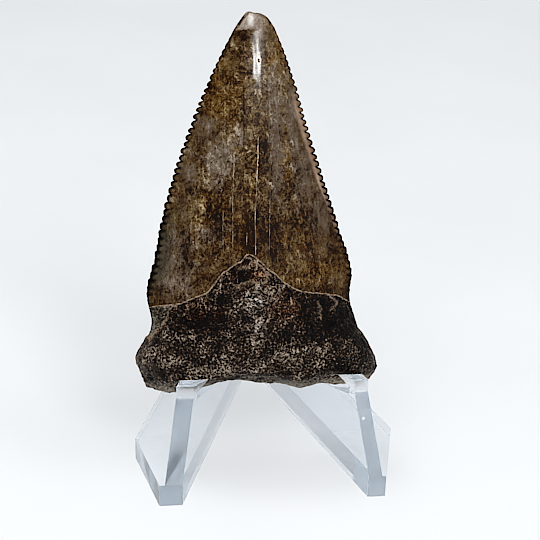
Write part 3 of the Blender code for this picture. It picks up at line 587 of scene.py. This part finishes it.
def buildTooth():
    shape = fossilTooth
    measures, faces = sewFaces(buildFace(shape, True), buildFace(shape, False))
    places = measures.pop("places")
    lean = radians(shape["lean"])
    axes = np.array([[1, 0, 0], [0, sin(lean), cos(lean)], [0, -cos(lean), sin(lean)]])
    mesh = bpy.data.meshes.new("fossilTooth")
    mesh.from_pydata(places.tolist(), [], faces)
    mesh.update()
    normals = np.zeros(len(places) * 3, np.float32)
    mesh.vertices.foreach_get("normal", normals)
    normals = normals.reshape(-1, 3)
    if (normals[:, 2] * np.sign(places[:, 2])).mean() < 0:
        mesh.flip_normals()
        normals = -normals
    raised = places + normals * reliefHeight(places, measures)[:, None]
    world = (np.array(shape["at"]) + raised @ axes) * mm
    mesh.vertices.foreach_set("co", world.astype(np.float32).ravel())
    mesh.update()
    mesh.shade_smooth()
    u, v = places.T[:2]
    above, rim, front = measures["above"][:, 0], measures["rim"][:, 0], measures["front"][:, 0]
    # the patches' edges wander by about half a mm
    bentU = u + 0.7 * noiseField(places, 0.6, 2, shift=1.7)
    bentV = v + 0.9 * noiseField(places, 0.6, 2, shift=6.4)
    patches = [patchValues(bentU, bentV, shape[name + "Patches"])
               for name in ("ochre", "grey", "dark", "smooth", "light", "rust", "polish")]
    patches.append(np.maximum(bareMask(u, v), 0.6 * smoothStep(2.4, 0.9, bentV)) * front)
    # the beads of the left edge are black; those of the right have a dark outline on their upper side, partly
    # painted shade
    phase = np.clip(measures["phase"][:, 0], 0, 1)
    leftBead = 1 - smoothStep(0.6, 1.2, rim / (0.03 + 0.27 * ballProfile(phase)))
    leftBead = leftBead * (0.85 - 0.2 * smoothStep(18.0, 26.0, v))
    rightBead = np.maximum(smoothStep(0.66, 0.86, phase), 1 - smoothStep(0.02, 0.14, phase))
    rightBead = 0.8 * rightBead * (1 - smoothStep(0.3, 0.7, rim))
    rightBead = np.maximum(rightBead, 0.85 - 0.85 * smoothStep(0.08, 0.2, rim))
    right = (measures["side"][:, 0] + 1) / 2
    # to the right of the worn facet the pale enamel fades out softly
    pale = 0.75 * smoothStep(45.4, 47.6, bentV) * smoothStep(2.5, 0.5, bentU) * smoothStep(-0.4, 0.4, u)
    tipEdge = smoothStep(0.04, 0.17, lineDistance(u, v, shape["wornTip"]))
    storeNumbers(mesh, {
        "toothPlace": places, "aboveLine": above, "rimDistance": rim, "rightSide": right, "frontFace": front,
        "toothPatches": np.stack(patches[:4], -1), "tonePatches": np.stack(patches[4:], -1),
        "beadShade": measures["beaded"][:, 0] * (leftBead + (rightBead - leftBead) * right),
        "wornTip": np.maximum(chipMask(u, v), pale) * tipEdge * front, "tanLines": lineMask(u, v) * front})
    tooth = addObject("fossilToothLooks", mesh)
    mesh.materials.append(fossilMaterial())
    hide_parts("fossil_tooth")
    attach(tooth, "root")
    triangles = sum(len(p.vertices) - 2 for p in mesh.polygons)
    print("tooth built:", len(mesh.vertices), "points,", triangles, "triangles")


def markStrength(tree, sides, mark, dashes):
    # how near each place is to one thin mark, times how clear the mark is there
    add = partial(addNode, tree)
    maths, times = "ShaderNodeMath", {"operation": "MULTIPLY"}
    way, pale, halfWidth, course, clearness = mark
    along, across = (sides[1], sides[0]) if way == "v" else sides
    first, last = course[0][0], course[-1][0]
    low, high = min(q for p, q in course) - 0.01, max(q for p, q in course) + 0.01
    share = add("ShaderNodeMapRange", {}, {"Value": along, "From Min": first, "From Max": last})
    line = fillCurve(add("ShaderNodeFloatCurve", {}, {"Value": share}),
                     [((p - first) / (last - first), (q - low) / (high - low)) for p, q in course])
    line = add(maths, {"operation": "MULTIPLY_ADD"}, {0: line, 1: high - low, 2: low})
    away = add(maths, {"operation": "SUBTRACT"}, {0: across, 1: line})
    away = add(maths, {"operation": "ABSOLUTE"}, {0: away})
    clear = fillCurve(add("ShaderNodeFloatCurve", {}, {"Value": share}),
                      [((p - first) / (last - first), q) for p, q in clearness])
    near = fadeBy(tree, clear, away, halfWidth * 1.7, halfWidth * 0.4)
    if pale > 0:
        near = add(maths, times, {0: near, 1: dashes})
    inside = add(maths, {"operation": "COMPARE"}, {0: share, 1: 0.5, 2: 0.499})
    return add(maths, times, {0: near, 1: inside})


def fossilMaterial():
    # Fossil enamel over a mineral-soaked bony root, as dug: the enamel is glassy and mottled brown, with
    # ochre flecks and fine age cracks, and the root is dull, nearly black and closely freckled with tan.
    material, tree, shader = newMaterial("fossilEnamelAndRoot")
    look = fossilTooth
    add, fade, layered, paint = [partial(step, tree) for step in (addNode, fadeBy, addLayers, paintOver)]
    maths, vector, attribute = "ShaderNodeMath", "ShaderNodeVectorMath", "ShaderNodeAttribute"
    grain, mapping, times = "ShaderNodeTexNoise", "ShaderNodeMapping", {"operation": "MULTIPLY"}
    minus, larger, size = {"operation": "SUBTRACT"}, {"operation": "MAXIMUM"}, {"operation": "ABSOLUTE"}

    # what the mesh knows about each of its points
    where = add(attribute, {"attribute_name": "toothPlace"}, {}, "Vector")
    upward = add("ShaderNodeSeparateXYZ", {}, {"Vector": where}, "Y")
    above, rim, beads, rightSide, worn, isFront, tan = [
        add(attribute, {"attribute_name": name}, {}, "Fac") for name in
        ("aboveLine", "rimDistance", "beadShade", "rightSide", "wornTip", "frontFace", "tanLines")]
    patches = []
    for name in ("toothPatches", "tonePatches"):
        packed = add(attribute, {"attribute_name": name}, {}, "Color")
        for part in ("Red", "Green", "Blue"):
            patches.append(add("ShaderNodeSeparateColor", {}, {"Color": packed}, part))
        patches.append(add(attribute, {"attribute_name": name}, {}, "Alpha"))
    ochre, grey, dark, smooth, light, rust, polish, shoulder = patches

    # the patterns: plain noises, two courses that wander, strokes and worms along the first of them, and
    # noises that are set elsewhere or drawn out along the tooth
    flecks, curls, clouds, grit, grime, dashes, gaps = [
        add(grain, {}, {"Vector": where, "Scale": scale, "Detail": detail, "Roughness": rough,
                        "Distortion": twist}) for scale, detail, rough, twist in look["grains"].values()]
    courses = []
    for scale, far in look["wander"]:
        push = add(grain, {}, {"Vector": where, "Scale": scale, "Detail": 2.0, "Roughness": 0.6}, 1)
        push = add(vector, minus, {0: push, 1: (0.5, 0.5, 0.5)})
        courses.append(add(vector, {"operation": "MULTIPLY_ADD"}, {0: push, 1: (far, far, 0.0), 2: where}))
    hairs = []
    for turned, start, lift in look["hairs"]:
        way = add(mapping, {"vector_type": "TEXTURE"}, {
            "Vector": courses[0], "Rotation": (0.0, 0.0, radians(turned)), "Scale": look["hairSize"]})
        hair = add(grain, {}, {"Vector": way, "Scale": 1.0, "Detail": 1.0, "Roughness": 0.5})
        hairs.append(fade(1.0, hair, start, start + 0.08))
    way = add(mapping, {"vector_type": "TEXTURE"}, {
        "Vector": courses[0], "Rotation": (0.0, 0.0, 0.3), "Scale": (0.8, 1.5, 1.0)})
    worms = add(grain, {}, {"Vector": way, "Scale": 2.1, "Detail": 1.5, "Roughness": 0.55, "Distortion": 0.7})
    tints, streaks, fibres = [
        add(grain, {}, {"Vector": add(mapping, {}, {"Vector": where, "Location": shift, "Scale": stretch}),
                        "Scale": scale, "Detail": detail, "Roughness": rough})
        for shift, stretch, scale, detail, rough in look["shiftedGrains"].values()]
    fleckLift, curlLift, cloudLift, gritLift, grimeLift, wormLift, tintLift, streakLift = [
        add(maths, minus, {0: pattern, 1: 0.5})
        for pattern in (flecks, curls, clouds, grit, grime, worms, tints, streaks)]
    # curls and worms are the thin lines where a noise passes its middle
    curls, worms = [fade(1.0, add(maths, size, {0: lift}), wide, 0.0)
                    for lift, wide in ((curlLift, 0.03), (wormLift, 0.045))]

    # the enamel's mottling, all added up to a tone from 0 (darkest) to 1; it is calmer in the smooth patches,
    # near the rims and low down
    lower, lowest = fade(1.0, upward, 39.0, 30.0), fade(1.0, upward, 27.0, 20.0)
    lowerRight = add(maths, times, {0: lower, 1: rightSide})
    calm = layered(1.0, ((smooth, -0.45), (fade(1.0, rim, 5.0, 1.0), -0.27), (lowest, -0.14)))
    calmFlecks, calmCurls, *strokes = [
        add(maths, times, {0: pattern, 1: calm}) for pattern in (fleckLift, curls, *hairs)]
    lifts = [lift for turned, start, lift in look["hairs"]]
    tone = layered(0.36, (
        (calmFlecks, 2.1), (cloudLift, 0.95), *zip(strokes, lifts), (streakLift, 0.5), (calmCurls, 0.12),
        (lower, -0.03), (lowerRight, -0.04), (dark, -0.5), (light, 0.4)))
    ochre = fade(1.0, layered(ochre, ((fleckLift, 1.2), (tintLift, 1.6))), 0.15, 0.75)
    # the grey-lilac tone is partly the enamel's own and partly a painted soft sheen of its smooth patches
    grey = fade(1.0, layered(grey, ((tintLift, -1.8),)), 0.15, 0.75)

    # the root: worm-like tan freckles, 0.12 mm wide and some 0.35 mm apart, over near-black bone, and short
    # upright fibres that hang from under the enamel's edge
    fibres = fade(fade(1.0, fibres, 0.56, 0.66), above, -3.6, -0.8)
    freckles = layered(0.3, ((grimeLift, 1.7), (light, 0.1), (dark, -0.3)))
    freckles = add(maths, larger, {0: freckles, 1: 0.03})
    # the root's tone is lifted on the polished bosses, a painted highlight
    rootTone = layered(0.25, (
        (gritLift, 3.3), (worms, freckles), (fibres, 0.3), (grimeLift, 1.1), (light, 0.16), (polish, 0.25),
        (dark, -0.4)))
    underside = fade(0.42, upward, 2.6, 1.0)
    shoulderTone = layered(-1.22, (
        (grit, 3.0), (underside, 1.0), (hairs[3], 0.3), (hairs[2], 0.2), (hairs[1], -0.3)))

    # age cracks and scratches, on the second wandering course
    sides = [add("ShaderNodeSeparateXYZ", {}, {"Vector": courses[1]}, name) for name in ("X", "Y")]
    dashes = fade(1.0, dashes, 0.42, 0.56, 0.25)
    strengths = {1: 0.0, -1: 0.0}
    for mark in look["marks"]:
        strength = markStrength(tree, sides, mark, dashes)
        strengths[mark[1]] = add(maths, larger, {0: strengths[mark[1]], 1: strength})
    paleMarks, darkMarks = [add(maths, times, {0: strengths[kind], 1: isFront}) for kind in (1, -1)]

    # the right cutting edge has a pink band that looks lit from within and is wider higher up, and the beads
    # are black on the left and only outlined in black on the right; the right beads' outlines and the thin
    # black line along the rim are partly painted shade where the edge turns away from the light
    wide = fade(1.0, upward, 22.0, 29.0, 0.65, 1.4)
    band = fade(1.0, rim, wide, add(maths, times, {0: wide, 1: 0.6}))
    band = fade(fade(band, rim, 0.1, 0.85, 0.15), rightSide, 0.4, 1.0)
    band = fade(fade(band, upward, 17.0, 24.0), upward, 40.0, 36.0)
    edge = fade(add(maths, larger, {0: fade(0.75, rim, 0.14, 0.04), 1: beads}), above, 0.0, 0.8)
    edge = fade(edge, upward, 43.0, 47.0, 1.0, 0.4)
    lowRight = fade(rightSide, upward, 22.0, 15.0)
    edge = add(maths, times, {0: edge, 1: layered(1.0, ((lowRight, -0.5),))})
    leftSide = layered(1.0, ((rightSide, -1.0),))
    murk = fade(fade(fade(leftSide, rim, 2.6, 0.3, 0.0, 0.6), upward, 27.0, 19.0), upward, 12.0, 15.5)

    # everything is painted from the lowest coat up; the worn tip shows pale, polished enamel with a painted
    # highlight near its top
    tones = {
        name: fillRamp(add("ShaderNodeValToRGB", {}, {"Fac": measure}), look[name]) for name, measure in (
            ("brown", tone), ("ochre", tone), ("grey", tone), ("pink", clouds), ("wornEnamel", flecks),
            ("root", rootTone), ("rust", rootTone), ("shoulder", shoulderTone))}
    # the worn tip's pale enamel, with a painted highlight where the tip's light patch is
    wornToneAndHighlight = paint(tones["wornEnamel"], ((light, look["tipPaintedHighlight"]),))
    enamel = paint(tones["brown"], (
        (ochre, tones["ochre"]), (grey, tones["grey"]), (darkMarks, look["darkMark"]),
        (paleMarks, look["paleMark"]), (band, tones["pink"]), (murk, look["murk"]), (edge, look["blackRimAndShade"]),
        (fade(worn, rim, 0.02, 0.16), wornToneAndHighlight)))
    # the two polished bosses of the root get a painted highlight
    root = paint(tones["root"], (
        (rust, tones["rust"]), (shoulder, tones["shoulder"]),
        (fade(polish, grit, 0.5, 0.61), look["bossPaintedHighlight"]), (fade(tan, grit, 0.35, 0.55), look["tanCrest"])))
    isEnamel = fade(1.0, above, -0.03, 0.03)
    # the pale line along the enamel's edge: partly its own colour and partly a painted highlight where the
    # raised ridge catches light from above
    seamAndRidgeHighlight = fade(fade(1.0, add(maths, size, {0: above}), 0.12, 0.05), gaps, 0.4, 0.56, 0.2, 0.9)
    colour = paint(root, ((isEnamel, enamel), (seamAndRidgeHighlight, look["seamAndRidgeHighlight"])))

    # glassy enamel and dull bone, and over the polished spots a glaze that is softer than glass
    gloss = layered(0.42, ((smooth, -0.18), (fleckLift, 0.4), (lower, 0.22)))
    glaze = add(maths, {"operation": "MULTIPLY", "use_clamp": True},
                {0: layered(0.75, ((fleckLift, 1.5),)), 1: polish})
    rootBumps = layered(add(maths, times, {0: worms, 1: 0.05}), ((grit, 0.16),))
    enamelBumps = add(maths, times, {0: flecks, 1: layered(calm, ((polish, -0.9),))})
    enamelBumps = add(maths, times, {0: enamelBumps, 1: 0.022})
    roughness, bumps = [
        add("ShaderNodeMix", {"data_type": "FLOAT"}, {0: isEnamel, 2: onRoot, 3: onEnamel}, 0)
        for onRoot, onEnamel in ((0.45, gloss), (rootBumps, enamelBumps))]
    bumps = layered(bumps, ((paleMarks, -0.02), (darkMarks, -0.03)))
    normal = add("ShaderNodeBump", {}, {"Height": bumps, "Distance": mm, "Strength": 1.0})
    fillInputs(tree, shader, {**look["sockets"], "Base Color": colour, "Roughness": roughness,
                              "Normal": normal, "Coat Weight": glaze})
    return material


standLooks = {
    "tint": "#f9fbfd",
    "roughness": 0.02,
    "edgeRoughness": 0.3,  # the sawn and flame-polished edges that look forwards
    # how much of the light is scattered: by the left and the right sawn edge, give or take the mottling, and
    # by the undersides behind the feet
    "edgeHaze": (0.0, 0.03),
    "mottle": 0.4,
    "underHaze": 0.5,
    "ior": 1.49,
    "absorbColour": "#5c9cc0",
    "absorbDensity": 19.0,  # to a metre
    # rubbed white, in mm: the front lips, the line under each of them, and a bubble in the right edge
    "lipFront": -11.0,
    "lipFoot": 13.5,
    "bubble": (12.0, -14.75, 10.2),
    "bubbleRadius": 0.32,
    "bubbleFrost": 2.7,
    # noise patterns: bumps to a mm, detail and roughness
    "grains": {
        "rubs": (0.62, 1.0, 0.5),
        "smears": (0.3, 3.0, 0.6),
        "waves": (0.26, 2.0, 0.5),
    },
}


def acrylicMaterial():
    # Clear acrylic, moulded in one piece, with its front edges sawn and flame-polished: see-through, with a
    # cool grey-blue cast where one looks along a wall
    material, tree, shader = newMaterial("polishedClearAcrylic")
    look = standLooks
    add, fade, layered = [partial(step, tree) for step in (addNode, fadeBy, addLayers)]
    maths, spread, near = "ShaderNodeMath", "ShaderNodeMapRange", {"operation": "COMPARE"}
    times, larger, size = {"operation": "MULTIPLY"}, {"operation": "MAXIMUM"}, {"operation": "ABSOLUTE"}
    place = add("ShaderNodeTexCoord", {}, {}, "Object")
    facing = add("ShaderNodeNewGeometry", {}, {}, "Normal")
    x, y, z = [add("ShaderNodeSeparateXYZ", {}, {"Vector": place}, name) for name in "XYZ"]
    outward, upright = [add("ShaderNodeSeparateXYZ", {}, {"Vector": facing}, name) for name in "YZ"]
    sawn = add(spread, {}, {"Value": outward, "From Min": -0.7, "From Max": -0.9})
    rubs, smears, waves = [
        add("ShaderNodeTexNoise", {}, {
            "Vector": place, "Scale": scale / mm, "Detail": detail, "Roughness": rough})
        for scale, detail, rough in look["grains"].values()]
    # the lips are frosted in patches, a white line runs under each, and the bubble is a pale spot
    foot, front = look["lipFoot"] * mm, look["lipFront"] * mm
    frost = fade(fade(1.0, rubs, 0.42, 0.66), z, foot, foot + 0.3 * mm)
    frost = add(maths, larger, {0: frost, 1: add(maths, near, {0: z, 1: foot, 2: 0.13 * mm})})
    frost = fade(frost, y, front + 0.4 * mm, front)
    away = add("ShaderNodeVectorMath", {"operation": "DISTANCE"},
               {0: place, 1: [part * mm for part in look["bubble"]]}, "Value")
    spot = fade(look["bubbleFrost"], away, look["bubbleRadius"] * mm, 0.1 * mm)
    frost = add(maths, larger, {0: frost, 1: spot})
    rough = layered(look["roughness"], ((sawn, look["edgeRoughness"] - look["roughness"]), (frost, 0.35)))
    # the sawn edges and the undersides scatter a little light
    leftHaze, rightHaze = look["edgeHaze"]
    haze = add(spread, {}, {"Value": x, "From Min": -8.0 * mm, "From Max": 8.0 * mm, "To Min": leftHaze,
                            "To Max": rightHaze})
    smears = add(maths, {"operation": "SUBTRACT"}, {0: smears, 1: 0.5})
    haze = add(maths, larger, {0: layered(haze, ((smears, look["mottle"]),)), 1: 0.0})
    haze = add(maths, times, {0: sawn, 1: haze})
    upright = add(maths, size, {0: upright})
    under = 1.0
    for measure, low, high, least in ((upright, 0.9, 0.95, 0.0), (z, 1.0 * mm, 0.5 * mm, 0.0),
                                      (y, -9.0 * mm, 0.0, 0.1)):
        share = add(spread, {}, {"Value": measure, "From Min": low, "From Max": high, "To Min": least})
        under = add(maths, times, {0: under, 1: share})
    clear = layered(1.0, ((frost, -0.3), (haze, -1.0), (under, -look["underHaze"])))
    # the edges were melted smooth and run in faint waves
    waves = add(maths, times, {0: waves, 1: sawn})
    bump = add("ShaderNodeBump", {}, {"Height": waves, "Distance": 0.25 * mm, "Strength": 0.5})
    fillInputs(tree, shader, {
        "Base Color": linearColour(look["tint"]), "IOR": look["ior"], "Roughness": rough,
        "Transmission Weight": clear, "Normal": bump})
    absorb = add("ShaderNodeVolumeAbsorption", {},
                 {"Color": linearColour(look["absorbColour"]), "Density": look["absorbDensity"]})
    fillInputs(tree, tree.nodes["Material Output"], {"Volume": absorb})
    return material


def dressStand():
    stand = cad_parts["display_stand"]
    stand.data.materials.clear()
    stand.data.materials.append(acrylicMaterial())
    stand.visible_shadow = False  # light passes through it
    stand.visible_diffuse = False  # and is not counted a second time


studio = {
    "floorColours": ("#e6e9ea", "#eaeced"),
    "floorHalf": 3000.0,  # mm
    "floorDrop": 0.05,  # mm of air under the stand, so that its underside still mirrors
    "worldColour": "#f6f8fc",
    "worldStrength": 0.54,
    "lights": [
        # name, place, aim, width, height, radiance, and whether it casts shadows; the glints are only seen
        # mirrored, and of the others only rightFill is mirrored at all
        ("softTop", (20, -320, 900), (0, -10, 0), 1000, 1000, 0.44, False),
        ("frontSoft", (-170, -235, 300), (-30, 0, 20), 160, 160, 6.3, False),
        ("backSoft", (-260, 240, 850), (-120, 0, 0), 300, 300, 5.1, True),
        ("rightFill", (450, -100, 480), (0, 0, 25), 220, 220, 3.4, True),
        ("keySoft", (200, -360, 400), (0, 0, 25), 200, 200, 5.6, True),
        ("tipGlint", (130, -366, 394), (0, 6, 52), 84, 60, 80.0, True),
        ("rootGlint", (10, -480, 190), (0, 0, 20), 24, 24, 45.0, True),
    ],
    "bounces": 24,  # light turns many times inside the acrylic's edges
}


def buildStudio():
    half = studio["floorHalf"] * mm
    drop = -studio["floorDrop"] * mm
    corners = [(-half, -half, drop), (half, -half, drop), (half, half, drop), (-half, half, drop)]
    mesh = bpy.data.meshes.new("paleFloor")
    mesh.from_pydata(corners, [], [(0, 1, 2, 3)])
    floor = addObject("paleFloor", mesh)
    # matt card, faintly uneven in tone over some 40 mm
    material, tree, shader = newMaterial("mattWhiteCard")
    place = addNode(tree, "ShaderNodeTexCoord", {}, {}, "Object")
    tones = addNode(tree, "ShaderNodeTexNoise", {}, {"Vector": place, "Scale": 25.0, "Detail": 3.0})
    card = fillRamp(addNode(tree, "ShaderNodeValToRGB", {}, {"Fac": tones}),
                    [(0.35, studio["floorColours"][0]), (0.65, studio["floorColours"][1])])
    fillInputs(tree, shader, {"Base Color": card, "Roughness": 0.7, "Specular IOR Level": 0.2})
    mesh.materials.append(material)
    world = bpy.data.worlds.new("whiteRoom")
    scene.world = world
    world.use_nodes = True
    fillInputs(world.node_tree, world.node_tree.nodes["Background"], {
        "Color": linearColour(studio["worldColour"]), "Strength": studio["worldStrength"]})
    for name, place, aim, width, height, radiance, casts in studio["lights"]:
        data = bpy.data.lights.new(name, "AREA")
        data.shape = "RECTANGLE"
        data.size, data.size_y = width * mm, height * mm
        data.energy = radiance * pi * data.size * data.size_y  # watts
        data.use_shadow = casts
        lamp = addObject(name, data)
        isGlint = name.endswith("Glint")
        lamp.visible_diffuse = not isGlint
        lamp.visible_transmission = False
        lamp.visible_glossy = isGlint or name == "rightFill"
        lamp.location = Vector(place) * mm
        lamp.rotation_euler = (Vector(aim) - Vector(place)).to_track_quat("-Z", "Y").to_euler()
    scene.view_settings.view_transform = "Standard"
    for name in ("max_bounces", "transmission_bounces", "glossy_bounces"):
        setattr(scene.cycles, name, studio["bounces"])
    scene.cycles.denoising_prefilter = "ACCURATE"


finish = {
    "sharpen": 0.1,
    "contrast": [(0.0, 0.0), (0.02, 0.011), (0.06, 0.051), (0.2, 0.2), (1.0, 1.0)],  # in linear light
}


def finishPicture():
    # the camera's own crisp, contrasty processing
    scene.use_nodes = True
    tree = scene.node_tree
    tree.nodes.clear()
    picture = addNode(tree, "CompositorNodeRLayers", {}, {}, "Image")
    picture = addNode(tree, "CompositorNodeFilter", {"filter_type": "SHARPEN"},
                      {"Fac": finish["sharpen"], "Image": picture})
    picture = addNode(tree, "CompositorNodeCurveRGB", {}, {"Image": picture})
    curve = picture.node.mapping.curves[3]
    for place in finish["contrast"][1:-1]:
        curve.points.new(*place)
    picture.node.mapping.update()
    fillInputs(tree, tree.nodes.new("CompositorNodeComposite"), {"Image": picture})


cameraLooks = {
    "place": (-23.65, -187.1, 125.0),  # mm
    "turnedRight": 7.49,  # degrees
    "lookingDown": 28.0,
    "roll": 1.91,
    "lens": 106.67,  # mm on a 36 mm sensor
}


def placeCamera():
    data = bpy.data.cameras.new("camera")
    data.lens = cameraLooks["lens"]
    data.sensor_width = 36.0
    data.clip_start, data.clip_end = 0.01, 20.0
    camera = addObject("camera", data)
    turn = Matrix.Rotation(radians(-cameraLooks["turnedRight"]), 4, "Z")
    tilt = Matrix.Rotation(radians(90 - cameraLooks["lookingDown"]), 4, "X")
    roll = Matrix.Rotation(radians(cameraLooks["roll"]), 4, "Z")
    camera.matrix_world = Matrix.Translation(Vector(cameraLooks["place"]) * mm) @ turn @ tilt @ roll
    scene.camera = camera


placeCamera()
print("camera placed")
buildStudio()
finishPicture()
print("studio built")
dressStand()
print("stand dressed")
buildTooth()
